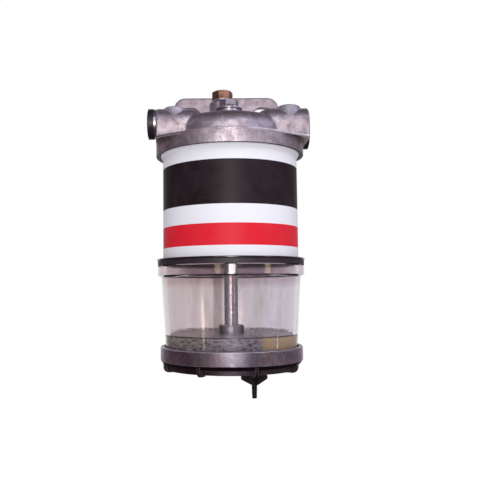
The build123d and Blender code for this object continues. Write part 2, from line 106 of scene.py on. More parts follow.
def likeness(tree, first, second):
    # 1 where two directions agree, 0 where they are square to each other
    return vectorCalc(tree, "DOT_PRODUCT", first, second)["Value"]


def partsOf(tree, vector):
    return put(tree, "ShaderNodeSeparateXYZ", {0: vector}).outputs


def ownPlace(tree):
    return put(tree, "ShaderNodeTexCoord").outputs["Object"]


def plainNormal(tree):
    return put(tree, "ShaderNodeNewGeometry").outputs["Normal"]


def aroundAxis(tree):
    # place relative to the filter's upright axis, its X, Y and Z parts, and the distance from the axis
    local = vectorCalc(tree, "SUBTRACT", ownPlace(tree), filterAxis)["Vector"]
    part = partsOf(tree, local)
    flat = put(tree, "ShaderNodeCombineXYZ", {0: part["X"], 1: part["Y"]}).outputs[0]
    return local, part, vectorCalc(tree, "LENGTH", flat)["Value"]


def ramp(tree, value, span, smooth=False):
    # span is (from, to) for 0 to 1, or (from, to, value at from, value at to)
    low, high, start, end = (*span, 0.0, 1.0)[:4]
    node = put(tree, "ShaderNodeMapRange", {"Value": value, "From Min": low, "From Max": high,
                                            "To Min": start, "To Max": end})
    node.interpolation_type = "SMOOTHSTEP" if smooth else "LINEAR"
    return node.outputs[0]


def softRamp(tree, value, span):
    return ramp(tree, value, span, smooth=True)


def blendColour(tree, factor, first, second, kind="MIX"):
    return put(tree, "ShaderNodeMix", {0: factor, 6: first, 7: second},
               data_type="RGBA", blend_type=kind).outputs[2]


def colourStops(tree, value, stops):
    node = put(tree, "ShaderNodeValToRGB", {"Fac": value})
    elements = node.color_ramp.elements
    elements.remove(elements[1])
    for index, (place, colour) in enumerate(stops):
        element = elements[0] if index == 0 else elements.new(place)
        element.position, element.color = place, colour
    return node.outputs["Color"]


def noiseOn(tree, vector, scale, detail=3.0, rough=0.5, warp=0.0):
    return put(tree, "ShaderNodeTexNoise", {"Vector": vector, "Scale": scale, "Detail": detail,
                                            "Roughness": rough, "Distortion": warp}).outputs["Fac"]


def stretched(tree, vector, scale, turn=(0.0, 0.0, 0.0)):
    return put(tree, "ShaderNodeMapping", {"Vector": vector, "Rotation": turn, "Scale": scale}).outputs[0]


def bumpOver(tree, height, normal, depth, strength):
    return put(tree, "ShaderNodeBump", {"Height": height, "Normal": normal, "Distance": depth,
                                        "Strength": strength}).outputs[0]


def newGroup(name, inputs, outputs):
    tree = bpy.data.node_groups.new(name, "ShaderNodeTree")
    for label, kind, default in inputs:
        socket = tree.interface.new_socket(label, in_out="INPUT", socket_type="NodeSocket" + kind)
        if default is not None:
            socket.default_value = default
    for label, kind in outputs:
        tree.interface.new_socket(label, in_out="OUTPUT", socket_type="NodeSocket" + kind)
    return tree, tree.nodes.new("NodeGroupInput").outputs, tree.nodes.new("NodeGroupOutput")


def give(tree, groupOut, **values):
    for label, socket in values.items():
        tree.links.new(socket, groupOut.inputs[label])


def useGroup(tree, group, **values):
    return put(tree, "ShaderNodeGroup", values, node_tree=group).outputs


def newFinish(name, **constants):
    material = bpy.data.materials.new(name)
    material.use_nodes = True
    tree = material.node_tree
    surface = tree.nodes["Principled BSDF"]
    for label, value in constants.items():
        surface.inputs[label.replace("_", " ")].default_value = value
    return material, tree, surface


def connect(tree, surface, **sockets):
    for label, socket in sockets.items():
        tree.links.new(socket, surface.inputs[label.replace("_", " ")])


# Camera at the photograph's angle, worked out for a 480 by 480 picture

view = {
    "place": Vector((-17.25 * mm, -449.9 * mm, -123.1 * mm)),
    "heading": 0.0111,       # radians from +Y towards +X
    "pitch": 0.0756,         # radians upwards
    "roll": 0.0083,
    "lens": 47.96,           # mm
    "sensor": 36.0,          # mm wide
    "shiftX": 0.0625,
    "clip": (0.01, 20.0),
}


def makeCamera():
    heading, pitch, roll = view["heading"], view["pitch"], view["roll"]
    flat = math.cos(pitch)
    forward = Vector((math.sin(heading) * flat, math.cos(heading) * flat, math.sin(pitch)))
    level = Vector((math.cos(heading), -math.sin(heading), 0.0))
    upright = level.cross(forward)
    right = level * math.cos(roll) - upright * math.sin(roll)
    up = level * math.sin(roll) + upright * math.cos(roll)
    lens = bpy.data.cameras.new("photoCamera")
    lens.lens, lens.sensor_width, lens.shift_x = view["lens"], view["sensor"], view["shiftX"]
    lens.clip_start, lens.clip_end = view["clip"]
    camera = bpy.data.objects.new("photoCamera", lens)
    turn = Matrix((right, up, -forward)).transposed().to_4x4()
    camera.matrix_world = Matrix.Translation(view["place"]) @ turn
    bpy.context.scene.collection.objects.link(camera)
    bpy.context.scene.camera = camera


makeCamera()
print("stage: camera")


# Studio: plain soft light, a white surround, and a pale floor well below the hanging filter

studio = {
    "fill": rgb(250, 244, 255), "fillSpan": (-1.0, 1.0, 0.29, 0.77), "fillFrom": (0.42, -0.66, 0.62),
    # what shiny surfaces see around them: degrees to the right from the camera's side, then screen
    # colour, where more than 255 is brighter than white
    "rooms": {
        "low": [(-140, (150, 124, 128)), (-108, (146, 120, 126)), (-75, (112, 88, 94)),
                (-45, (106, 88, 94)), (-20, (118, 104, 116)), (-7, (360, 352, 370)), (6, (360, 352, 370)),
                (16, (132, 124, 148)), (36, (90, 78, 102)), (62, (122, 108, 118)), (95, (178, 160, 172)),
                (140, (176, 158, 168))],
        "level": [(-135, (104, 84, 86)), (-95, (96, 74, 76)), (-62, (98, 78, 82)), (-34, (150, 132, 136)),
                  (-8, (196, 184, 190)), (14, (170, 160, 172)), (60, (158, 146, 156)),
                  (88, (138, 122, 132)), (135, (118, 102, 110))],
        "bowl": [(-150, (30, 20, 24)), (-85, (30, 20, 24)), (-60, (70, 56, 62)), (-34, (212, 214, 226)),
                 (-4, (346, 354, 368)), (8, (196, 194, 210)), (20, (130, 112, 130)), (60, (124, 104, 118)),
                 (110, (96, 78, 90)), (150, (86, 70, 80))],
    },
    # how high, or for behind how far back, a ray points where each part of the room takes over
    "levelSpan": (-0.08, 0.14), "upperSpan": (0.22, 0.46), "zenithSpan": (0.62, 0.86),
    "belowSpan": (-0.12, -0.5), "behindSpan": (0.72, 0.97),
    "upper": rgb(150, 148, 172), "zenith": rgb(82, 66, 74), "below": rgb(72, 56, 60),
    # small lamps in the room: turn, height and spread in degrees, then colour
    "glints": [(-22, 2, 6.0, (6.0, 4.6, 3.2, 1)), (55, 3, 6.0, (6.0, 4.5, 2.9, 1)),
               (-50, -10, 3.4, (4.0, 3.2, 2.4, 1)), (82, -10.5, 2.2, (7.0, 6.6, 6.8, 1))],
    "glintCore": 0.3,        # share of a glint's spread that is at full strength
    "insideDepth": 2.5,      # more passes through glass than this: the ray comes from inside the bowl
    "floorZ": -500.0 * mm, "floorSize": 2.4, "floorColour": rgb(238, 236, 236), "floorRough": 0.9,
    "floorLift": 0.62,
}

# places in mm, sizes in metres, power in watts
lamps = {
    "keyWindow": {"place": (-8, -650, -36), "target": (0, -50, -70), "size": (0.10, 0.19),
                  "power": 1.15, "colour": rgb(255, 250, 248)},
    "upperSheet": {"place": (90, -560, 300), "target": (0, -50, -60), "size": (1.1, 0.14),
                   "power": 1.0, "colour": rgb(226, 234, 255)},
    "rightSky": {"place": (520, -360, 300), "target": (0, -50, -40), "size": (0.40, 0.20),
                 "power": 0.55, "colour": rgb(206, 222, 255)},
}


def roomColour(tree, facing, inside):
    # the graded room in reflections, with a wider window of its own for what lies in the bowl
    aim = partsOf(tree, facing)
    turn = calc(tree, "ARCTAN2", aim["X"], product(tree, aim["Y"], -1.0))
    turn = scaleAndAdd(tree, turn, 0.5 / math.pi, 0.5)      # 0 to 1 once round, 0.5 at the camera's side
    walls = {}
    for name, stops in studio["rooms"].items():
        places = [(0.5 + angle / 360, rgb(*colour)) for angle, colour in stops]
        walls[name] = colourStops(tree, turn, places)
    room = blendColour(tree, softRamp(tree, aim["Z"], studio["levelSpan"]), walls["low"], walls["level"])
    room = blendColour(tree, inside, room, walls["bowl"])
    for name in ("upper", "zenith", "below"):
        room = blendColour(tree, softRamp(tree, aim["Z"], studio[name + "Span"]), room, studio[name])
    room = blendColour(tree, softRamp(tree, aim["Y"], studio["behindSpan"]), room, white)
    for angle, lift, spread, colour in studio["glints"]:
        angle, lift, spread = math.radians(angle), math.radians(lift), math.radians(spread)
        aimAt = (math.sin(angle) * math.cos(lift), -math.cos(angle) * math.cos(lift), math.sin(lift))
        near = (math.cos(spread), math.cos(spread * studio["glintCore"]))
        room = blendColour(tree, softRamp(tree, likeness(tree, facing, aimAt), near), room, colour)
    return room


def makeWorld():
    # white for the camera and straight through glass, the room in reflections, an even fill for the rest
    world = bpy.data.worlds.new("softRoom")
    bpy.context.scene.world = world
    world.use_nodes = True
    tree = world.node_tree
    tree.nodes.clear()
    path = put(tree, "ShaderNodeLightPath").outputs
    facing = put(tree, "ShaderNodeTexCoord").outputs["Generated"]
    mirrored = isOver(tree, path["Glossy Depth"], anyBounce)
    scattered = isOver(tree, path["Diffuse Depth"], anyBounce)
    inside = product(tree, mirrored, isOver(tree, path["Transmission Depth"], studio["insideDepth"]))
    level = ramp(tree, likeness(tree, facing, studio["fillFrom"]), studio["fillSpan"])
    soft = blendColour(tree, level, black, studio["fill"])
    clear = calc(tree, "SUBTRACT", 1.0, calc(tree, "MAXIMUM", inside, scattered))
    clear = product(tree, clear, path["Is Transmission Ray"])
    glossy = calc(tree, "SUBTRACT", mirrored, scattered, clamp=True)
    seen = blendColour(tree, glossy, soft, roomColour(tree, facing, inside))
    seen = blendColour(tree, calc(tree, "MAXIMUM", path["Is Camera Ray"], clear), seen, white)
    light = put(tree, "ShaderNodeBackground", {"Color": seen, "Strength": 1.0})
    put(tree, "ShaderNodeOutputWorld", {"Surface": light.outputs[0]})


def softLamp(name, row):
    lamp = bpy.data.lights.new(name, "AREA")
    lamp.shape = "RECTANGLE"
    lamp.size, lamp.size_y = row["size"]
    lamp.energy, lamp.color = row["power"], row["colour"][:3]
    place, target = Vector(row["place"]) * mm, Vector(row["target"]) * mm
    holder = bpy.data.objects.new(name, lamp)
    holder.location = place
    holder.rotation_euler = (target - place).to_track_quat("-Z", "Y").to_euler()
    bpy.context.scene.collection.objects.link(holder)


def floorPaper():
    # pale to the eye and through glass, dark where metal mirrors it
    material, tree, surface = newFinish("floorPaper", Roughness=studio["floorRough"], Emission_Color=white)
    path = put(tree, "ShaderNodeLightPath").outputs
    mirrored = isOver(tree, path["Glossy Depth"], anyBounce)
    lifted = calc(tree, "MAXIMUM", path["Is Camera Ray"], path["Is Transmission Ray"])
    lifted = calc(tree, "SUBTRACT", lifted, mirrored, clamp=True)
    connect(tree, surface, Base_Color=blendColour(tree, mirrored, studio["floorColour"], studio["below"]),
            Emission_Strength=product(tree, lifted, studio["floorLift"]))
    return material


def makeFloor():
    half = studio["floorSize"] / 2
    mesh = bpy.data.meshes.new("floor")
    corners = [(-half, -half), (half, -half), (half, half), (-half, half)]
    mesh.from_pydata([(x, y, studio["floorZ"]) for x, y in corners], [], [(0, 1, 2, 3)])
    floor = bpy.data.objects.new("floor", mesh)
    bpy.context.scene.collection.objects.link(floor)
    mesh.materials.append(floorPaper())


bpy.context.scene.view_settings.view_transform = "Standard"
makeWorld()
makeFloor()
for lampName, lampRow in lamps.items():
    softLamp(lampName, lampRow)
print("stage: studio")


# Shared finishes: what several materials use, each built once

grainShape = {
    "fine": {"detail": 4.0, "rough": 0.62}, "slow": {"detail": 3.0, "rough": 0.55},
    "pits": {"detail": 1.0}, "blotch": {"detail": 5.0, "rough": 0.6, "warp": 0.4},
    "pitScale": 0.55, "blotchScale": 0.62, "pitSpan": (0.33, 0.46), "glintSpan": (0.58, 0.68),
    "fineShare": 0.55, "slowShare": 0.9, "pitShare": 0.22,
}
grimeAndShadeShape = {"patch": {"detail": 4.0, "rough": 0.6}, "patchSpan": (0.3, 0.7, 0.6, 1.3)}
lineShape = {"scale": 1.0, "detail": 2.0, "rough": 0.6}
smearShape = {
    "smear": {"detail": 5.0, "rough": 0.65, "warp": 1.2}, "hair": {"detail": 2.0, "rough": 0.7, "warp": 0.3},
    "hairTurn": (0.5, 0.3, 0.9), "hairStretch": (1.0, 14.0, 1.0), "hairScale": 3.0, "hairSpan": (0.62, 0.70),
}


def softEdgesGroup():
    # rounded normals, and a mask of the edges that they round off
    inputs = [("Radius", "Float", 0.25 * mm), ("Gain", "Float", 8.0)]
    tree, given, out = newGroup("softEdges", inputs, [("Normal", "Vector"), ("Edge", "Float")])
    rounded = put(tree, "ShaderNodeBevel", {"Radius": given["Radius"]}, samples=maskSamples).outputs[0]
    bend = calc(tree, "SUBTRACT", 1.0, likeness(tree, rounded, plainNormal(tree)))
    give(tree, out, Normal=rounded, Edge=calc(tree, "MULTIPLY", bend, given["Gain"], clamp=True))
    return tree


def castGrainGroup():
    # sand-cast skin: fine pimples and pits over slow waves, with a blotchy tone, specks and painted glints on
    # bright grains
    inputs = [("Fine", "Float", 1900.0), ("Slow", "Float", 260.0), ("Seed", "Float", 0.0)]
    outputs = [("Height", "Float"), ("Blotch", "Float"), ("Speck", "Float"), ("Glint", "Float")]
    tree, given, out = newGroup("castGrain", inputs, outputs)
    shape = grainShape
    moved = vectorCalc(tree, "ADD", ownPlace(tree), given["Seed"])["Vector"]
    fine = noiseOn(tree, moved, given["Fine"], **shape["fine"])
    slow = noiseOn(tree, moved, given["Slow"], **shape["slow"])
    pits = noiseOn(tree, moved, product(tree, given["Fine"], shape["pitScale"]), **shape["pits"])
    pits = softRamp(tree, pits, shape["pitSpan"])
    height = scaleAndAdd(tree, fine, shape["fineShare"], product(tree, slow, shape["slowShare"]))
    height = scaleAndAdd(tree, pits, shape["pitShare"], height)
    blotch = noiseOn(tree, moved, product(tree, given["Slow"], shape["blotchScale"]), **shape["blotch"])
    give(tree, out, Height=height, Blotch=blotch, Speck=calc(tree, "SUBTRACT", 1.0, pits),
         Glint=ramp(tree, fine, shape["glintSpan"]))
    return tree


def grimeAndShadeGroup():
    # dirt and painted shade that gather in corners, broken up by noise
    inputs = [("Reach", "Float", 4.0 * mm), ("Breakup", "Float", 320.0)]
    tree, given, out = newGroup("grimeAndShade", inputs, [("Mask", "Float")])
    openness = put(tree, "ShaderNodeAmbientOcclusion", {"Distance": given["Reach"]},
                   samples=maskSamples).outputs["AO"]
    patch = noiseOn(tree, ownPlace(tree), given["Breakup"], **grimeAndShadeShape["patch"])
    closed = calc(tree, "SUBTRACT", 1.0, openness)
    broken = ramp(tree, patch, grimeAndShadeShape["patchSpan"])
    give(tree, out, Mask=calc(tree, "MULTIPLY", closed, broken, clamp=True))
    return tree


def turnedLinesGroup():
    # faint lathe rings about an upright axis at the given place
    inputs = [("Axis", "Vector", None), ("Pitch", "Float", 0.35 * mm)]
    tree, given, out = newGroup("turnedLines", inputs, [("Height", "Float")])
    part = partsOf(tree, vectorCalc(tree, "SUBTRACT", ownPlace(tree), given["Axis"])["Vector"])
    radius = scaleAndAdd(tree, part["X"], part["X"], product(tree, part["Y"], part["Y"]))
    radius = calc(tree, "SQRT", radius)
    along = calc(tree, "DIVIDE", calc(tree, "ADD", radius, part["Z"]), given["Pitch"])
    row = put(tree, "ShaderNodeCombineXYZ", {0: along}).outputs[0]
    give(tree, out, Height=noiseOn(tree, row, **lineShape))
    return tree


def handlingGroup():
    # smears and fine scratches from handling
    inputs = [("Size", "Float", 60.0), ("Scratches", "Float", 0.5)]
    tree, given, out = newGroup("handling", inputs, [("Mask", "Float"), ("Scratch", "Float")])
    shape, where = smearShape, ownPlace(tree)
    smear = noiseOn(tree, where, given["Size"], **shape["smear"])
    drawn = stretched(tree, where, shape["hairStretch"], shape["hairTurn"])
    hair = noiseOn(tree, drawn, product(tree, given["Size"], shape["hairScale"]), **shape["hair"])
    hair = product(tree, ramp(tree, hair, shape["hairSpan"]), given["Scratches"])
    give(tree, out, Mask=smear, Scratch=hair)
    return tree


softEdges, castGrain, grimeAndShade = softEdgesGroup(), castGrainGroup(), grimeAndShadeGroup()
turnedLines, handling = turnedLinesGroup(), handlingGroup()
print("stage: shared finishes")


# Cast aluminium of the head and of the base; rough goes from the duller to the smoother patches

castings = {
    "both": {"reach": 3.5 * mm, "gain": 8.0, "toneSpan": (0.3, 0.72), "roughSpan": (0.3, 0.75),
             "speckShare": 0.24, "glintShare": 0.45, "edgeShare": 0.9, "dirtAndShadeShare": 0.95,
             "dirtRough": 0.25, "edgeRough": -0.16, "edgeMetal": -0.7},
    "head": {"tone": rgb(204, 195, 199), "dark": rgb(164, 150, 154), "paintedHighlight": rgb(252, 250, 255),
             "dirtAndShade": rgb(84, 66, 62), "rough": (0.52, 0.40), "grain": 1500.0, "seed": 0.0,
             "soft": 0.5 * mm, "bump": (0.26 * mm, 0.7),
             # painted shade on the port bosses and the wall plate, where they don't face up
             "shade": rgb(225, 222, 221), "portX": (24 * mm, 34 * mm), "portZ": (-34 * mm, -31 * mm),
             "stubZ": (-14 * mm, -16 * mm), "plateY": (18 * mm, 34 * mm), "shadeFacing": (0.35, 0.05),
             # painted light on top of the stubs and bosses, more so at the left
             "rubbed": rgb(240, 232, 236), "litTopZ": (-19 * mm, -15 * mm), "litTopX": (18 * mm, 26 * mm),
             "litTopY": (30 * mm, 24 * mm), "litTopShare": (30 * mm, -30 * mm, 0.2, 0.5),
             # painted shadow under the skirt's lip
             "lip": rgb(66, 48, 50), "lipZ": (-38.5 * mm, -39.5 * mm), "lipFacing": (-0.25, -0.6),
             "lipShare": 0.9,
             # painted highlight along the skirt's upper edge, at the right
             "skirtHighlight": rgb(226, 228, 240), "skirtHighlightZ": -32.3 * mm, "skirtHighlightHalf": (0.9 * mm, 0.4 * mm),
             "skirtHighlightR": (44 * mm, 45 * mm), "skirtHighlightX": (4 * mm, 16 * mm), "skirtHighlightPatch": (0.35, 0.6, 0.3, 1.0),
             "skirtHighlightShare": 0.8},
    "base": {"tone": rgb(154, 149, 160), "dark": rgb(126, 116, 126), "paintedHighlight": rgb(236, 230, 240),
             "dirtAndShade": rgb(50, 38, 40), "rough": (0.40, 0.28), "grain": 1700.0, "seed": 3.7,
             "soft": 0.7 * mm, "bump": (0.18 * mm, 0.5),
             # painted shade, with some dirt, below its band, most of all on the outside
             "under": rgb(52, 40, 45), "underZ": (-166.3 * mm, -167.1 * mm),
             "underR": (35.0 * mm, 38.5 * mm, 0.15, 1.0), "underShare": 0.85,
             # paler and less metal on the ledge's upward faces inside the bowl, with flakes of dirt, thicker
             # near the boss
             "inside": rgb(226, 208, 210), "ledgeR": (38.0 * mm, 37.7 * mm),
             "ledgeZ": (-154.0 * mm, -153.0 * mm), "ledgeFacing": (0.5, 0.8), "insideShare": 0.8,
             "insideMetal": -0.55, "flakes": {"scale": 420.0, "detail": 5.0, "rough": 0.7},
             "flakeStretch": (1.0, 0.3, 1.0), "flakeSpan": (0.50, 0.58),
             "flakeR": (34 * mm, 16 * mm, 0.35, 1.0), "flakeShare": 0.8},
}


def castFinish(name, look):
    # the skin both castings start from: skin holds its colour, roughness, metal, grain and normal
    both = castings["both"]
    material, tree, surface = newFinish(name)
    grain = useGroup(tree, castGrain, Fine=look["grain"], Seed=look["seed"])
    edges = useGroup(tree, softEdges, Radius=look["soft"], Gain=both["gain"])
    dirtAndShade = useGroup(tree, grimeAndShade, Reach=both["reach"])["Mask"]
    tone = softRamp(tree, grain["Blotch"], both["toneSpan"])
    colour = blendColour(tree, tone, look["dark"], look["tone"])
    colour = blendColour(tree, product(tree, grain["Speck"], both["speckShare"]), colour, look["dirtAndShade"])
    # painted glints on bright grains
    colour = blendColour(tree, product(tree, grain["Glint"], both["glintShare"]), colour, look["paintedHighlight"])
    # painted highlight along the edges, which are also made less metal below so they read bright from any
    # side
    colour = blendColour(tree, product(tree, edges["Edge"], both["edgeShare"]), colour, look["paintedHighlight"])
    # dirt and painted shade in corners and creases
    colour = blendColour(tree, product(tree, dirtAndShade, both["dirtAndShadeShare"]), colour, look["dirtAndShade"])
    rough = ramp(tree, grain["Blotch"], (*both["roughSpan"], *look["rough"]))
    rough = scaleAndAdd(tree, dirtAndShade, both["dirtRough"], rough, clamp=True)
    rough = scaleAndAdd(tree, edges["Edge"], both["edgeRough"], rough)
    metal = scaleAndAdd(tree, edges["Edge"], both["edgeMetal"], 1.0)
    return material, tree, surface, {"colour": colour, "rough": rough, "metal": metal, "grain": grain,
                                     "normal": edges["Normal"]}


def castConnect(tree, surface, look, skin):
    normal = bumpOver(tree, skin["grain"]["Height"], skin["normal"], *look["bump"])
    connect(tree, surface, Base_Color=skin["colour"], Roughness=skin["rough"], Normal=normal,
            Metallic=skin["metal"])


def headCasting():
    look = castings["head"]
    material, tree, surface, skin = castFinish("headCasting", look)
    part, radius = aroundAxis(tree)[1:]
    sideways = calc(tree, "ABSOLUTE", part["X"])
    facing = partsOf(tree, skin["normal"])["Z"]
    # painted shade on the port bosses and the wall plate, where they don't face up
    ports = product(tree, softRamp(tree, sideways, look["portX"]), softRamp(tree, part["Z"], look["portZ"]),
                    softRamp(tree, part["Z"], look["stubZ"]))
    shadedFaces = calc(tree, "MAXIMUM", ports, softRamp(tree, part["Y"], look["plateY"]))
    shadedFaces = product(tree, shadedFaces, softRamp(tree, facing, look["shadeFacing"]))
    colour = blendColour(tree, shadedFaces, skin["colour"], look["shade"], kind="MULTIPLY")
    # painted light on top of the stubs and bosses
    litTops = product(tree, softRamp(tree, part["Z"], look["litTopZ"]),
                   softRamp(tree, sideways, look["litTopX"]),
                   ramp(tree, part["X"], look["litTopShare"]), ramp(tree, part["Y"], look["litTopY"]))
    colour = blendColour(tree, litTops, colour, look["rubbed"])
    # painted shadow under the skirt's lip
    lip = product(tree, ramp(tree, part["Z"], look["lipZ"]), ramp(tree, facing, look["lipFacing"]),
                  look["lipShare"])
    colour = blendColour(tree, lip, colour, look["lip"])
    # painted highlight along the skirt's upper edge, at the right, made less metal
    skirtHighlight = product(tree, softRamp(tree, distanceTo(tree, part["Z"], look["skirtHighlightZ"]), look["skirtHighlightHalf"]),
                   ramp(tree, radius, look["skirtHighlightR"]), softRamp(tree, part["X"], look["skirtHighlightX"]),
                   ramp(tree, skin["grain"]["Blotch"], look["skirtHighlightPatch"]), look["skirtHighlightShare"])
    skin["colour"] = blendColour(tree, skirtHighlight, colour, look["skirtHighlight"])
    skin["metal"] = product(tree, skin["metal"], calc(tree, "SUBTRACT", 1.0, skirtHighlight))
    castConnect(tree, surface, look, skin)
    return material


def baseCasting():
    look = castings["base"]
    material, tree, surface, skin = castFinish("baseCasting", look)
    local, part, radius = aroundAxis(tree)
    facing = partsOf(tree, skin["normal"])["Z"]
    # painted shade, with some dirt, below the band
    under = product(tree, softRamp(tree, part["Z"], look["underZ"]),
                    softRamp(tree, radius, look["underR"]), look["underShare"])
    colour = blendColour(tree, under, skin["colour"], look["under"])
    inside = product(tree, ramp(tree, radius, look["ledgeR"]), ramp(tree, part["Z"], look["ledgeZ"]),
                     ramp(tree, facing, look["ledgeFacing"]))
    colour = blendColour(tree, product(tree, inside, look["insideShare"]), colour, look["inside"])
    flakes = noiseOn(tree, stretched(tree, local, look["flakeStretch"]), **look["flakes"])
    flakes = product(tree, inside, ramp(tree, flakes, look["flakeSpan"]),
                     ramp(tree, radius, look["flakeR"]), look["flakeShare"])
    skin["colour"] = blendColour(tree, flakes, colour, look["dirtAndShade"])
    skin["metal"] = product(tree, skin["metal"], scaleAndAdd(tree, inside, look["insideMetal"], 1.0))
    castConnect(tree, surface, look, skin)
    return material


# Machined and plated metals, with turned lines; rough goes from the duller to the smoother patches

metals = {
    "all": {"smearSize": 110.0, "scratches": 0.4, "soft": 0.22 * mm, "gain": 7.0, "reach": 2.0 * mm,
            "greaseAndShade": rgb(46, 38, 36), "greaseAndShadeShare": 0.75, "toneSpan": (0.35, 0.68),
            "roughSpan": (0.3, 0.7), "scratchRough": 0.12, "lineStrength": 0.5},
    "zinc": {"tone": rgb(204, 196, 200), "dark": rgb(184, 175, 178), "rough": (0.30, 0.20),
             "pitch": 0.5 * mm, "lineDepth": 0.025 * mm},
    "brass": {"tone": rgb(186, 142, 116), "dark": rgb(118, 80, 62), "rough": (0.42, 0.26),
              "pitch": 0.3 * mm, "lineDepth": 0.05 * mm},
    "washer": {"tone": rgb(222, 222, 226), "dark": rgb(176, 174, 178), "rough": (0.38, 0.24),
               "pitch": 0.4 * mm, "lineDepth": 0.02 * mm},
    "tinned": {"tone": rgb(190, 190, 188), "dark": rgb(150, 148, 142), "rough": (0.40, 0.26),
               "pitch": 0.8 * mm, "lineDepth": 0.02 * mm},
}


def turnedFinish(name, look, axis=filterAxis):
    every = metals["all"]
    material, tree, surface = newFinish(name, Metallic=1.0)
    rubbed = useGroup(tree, handling, Size=every["smearSize"], Scratches=every["scratches"])
    edges = useGroup(tree, softEdges, Radius=every["soft"], Gain=every["gain"])
    dirtAndShade = useGroup(tree, grimeAndShade, Reach=every["reach"])["Mask"]
    lines = useGroup(tree, turnedLines, Axis=axis, Pitch=look["pitch"])["Height"]
    tone = softRamp(tree, rubbed["Mask"], every["toneSpan"])
    colour = blendColour(tree, tone, look["dark"], look["tone"])
    # grease and painted shade in corners, as under the bolt's flange
    colour = blendColour(tree, product(tree, dirtAndShade, every["greaseAndShadeShare"]), colour, every["greaseAndShade"])
    rough = ramp(tree, rubbed["Mask"], (*every["roughSpan"], *look["rough"]))
    rough = scaleAndAdd(tree, rubbed["Scratch"], every["scratchRough"], rough, clamp=True)
    normal = bumpOver(tree, lines, edges["Normal"], look["lineDepth"], every["lineStrength"])
    connect(tree, surface, Base_Color=colour, Roughness=rough, Normal=normal)
    return material


def brassFinish():
    low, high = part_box("vent_plug")
    middle = (low + high) / 2
    return turnedFinish("brass", metals["brass"], Vector((middle.x, middle.y, 0.0)))


# Enamelled can: white with one broad black band and one narrower red band

bands = {
    "white": rgb(235, 237, 239), "black": rgb(27, 13, 19), "red": rgb(222, 22, 42),
    "blackZ": (-75.2 * mm, -49.5 * mm), "redZ": (-98.7 * mm, -86.1 * mm), "blur": 0.10 * mm,
    "wobble": {"scale": 500.0, "detail": 2.0}, "wobbleHeight": 0.12 * mm,
    "smear": rgb(150, 146, 150), "smearSize": 45.0, "smearSpan": (0.35, 0.75, 0.0, 0.05),
    "dirtAndShade": rgb(88, 78, 76), "dirtReach": 3.0 * mm, "dirtAndShadeShare": 0.14, "soft": 0.3 * mm,
    "roughSpan": (0.3, 0.7, 0.42, 0.52), "scratches": 0.5, "scratchRough": 0.10, "ior": 1.5, "shine": 0.22,
    "peel": {"scale": 260.0, "detail": 2.0}, "peelShare": 0.5, "inkShare": 0.25, "bump": (0.05 * mm, 0.35),
}


def canEnamel():
    material, tree, surface = newFinish("canEnamel", IOR=bands["ior"], Specular_IOR_Level=bands["shine"])
    rubbed = useGroup(tree, handling, Size=bands["smearSize"], Scratches=bands["scratches"])
    edges = useGroup(tree, softEdges, Radius=bands["soft"])
    dirtAndShade = useGroup(tree, grimeAndShade, Reach=bands["dirtReach"])["Mask"]
    where = ownPlace(tree)
    wobble = calc(tree, "SUBTRACT", noiseOn(tree, where, **bands["wobble"]), noiseMiddle)
    height = scaleAndAdd(tree, wobble, bands["wobbleHeight"], partsOf(tree, where)["Z"])

    def between(low, high):
        blur = bands["blur"]
        return product(tree, ramp(tree, height, (low - blur, low + blur)),
                       ramp(tree, height, (high + blur, high - blur)))

    blackInk, redInk = between(*bands["blackZ"]), between(*bands["redZ"])
    colour = blendColour(tree, blackInk, bands["white"], bands["black"])
    colour = blendColour(tree, redInk, colour, bands["red"])
    colour = blendColour(tree, ramp(tree, rubbed["Mask"], bands["smearSpan"]), colour, bands["smear"])
    # dirt and painted shade in corners
    colour = blendColour(tree, product(tree, dirtAndShade, bands["dirtAndShadeShare"]), colour, bands["dirtAndShade"])
    rough = ramp(tree, rubbed["Mask"], bands["roughSpan"])
    rough = scaleAndAdd(tree, rubbed["Scratch"], bands["scratchRough"], rough)
    peel = product(tree, noiseOn(tree, where, **bands["peel"]), bands["peelShare"])
    relief = scaleAndAdd(tree, calc(tree, "MAXIMUM", blackInk, redInk), bands["inkShare"], peel)
    normal = bumpOver(tree, relief, edges["Normal"], *bands["bump"])
    connect(tree, surface, Base_Color=colour, Roughness=rough, Normal=normal)
    return material


# Dark parts: lacquered end plate, port plugs, rubber and the drain screw

darks = {
    "all": {"smearSize": 120.0, "scratches": 0.5, "soft": 0.3 * mm, "gain": 4.0,
            "rubSpan": (0.4, 0.75, 0.0, 0.35), "edgeShare": 0.45, "roughSpan": (0.3, 0.7),
            "skin": {"detail": 3.0, "rough": 0.6}, "bump": (0.05 * mm, 0.35), "coatRough": 0.15, "ior": 1.5},
    "plate": {"tone": rgb(24, 14, 22), "rub": rgb(64, 50, 66), "rough": (0.18, 0.30), "coat": 0.2,
              "grain": 700.0, "shine": 0.5},
    "plug": {"tone": rgb(32, 20, 29), "rub": rgb(72, 56, 68), "rough": (0.34, 0.5), "coat": 0.0,
             "grain": 1600.0, "shine": 0.5},
    "rubber": {"tone": rgb(36, 30, 34), "rub": rgb(62, 54, 58), "rough": (0.42, 0.6), "coat": 0.0,
               "grain": 1200.0, "shine": 0.5},
    "drain": {"tone": rgb(16, 11, 16), "rub": rgb(60, 50, 58), "rough": (0.3, 0.46), "coat": 0.0,
              "grain": 1500.0, "shine": 0.25},
}


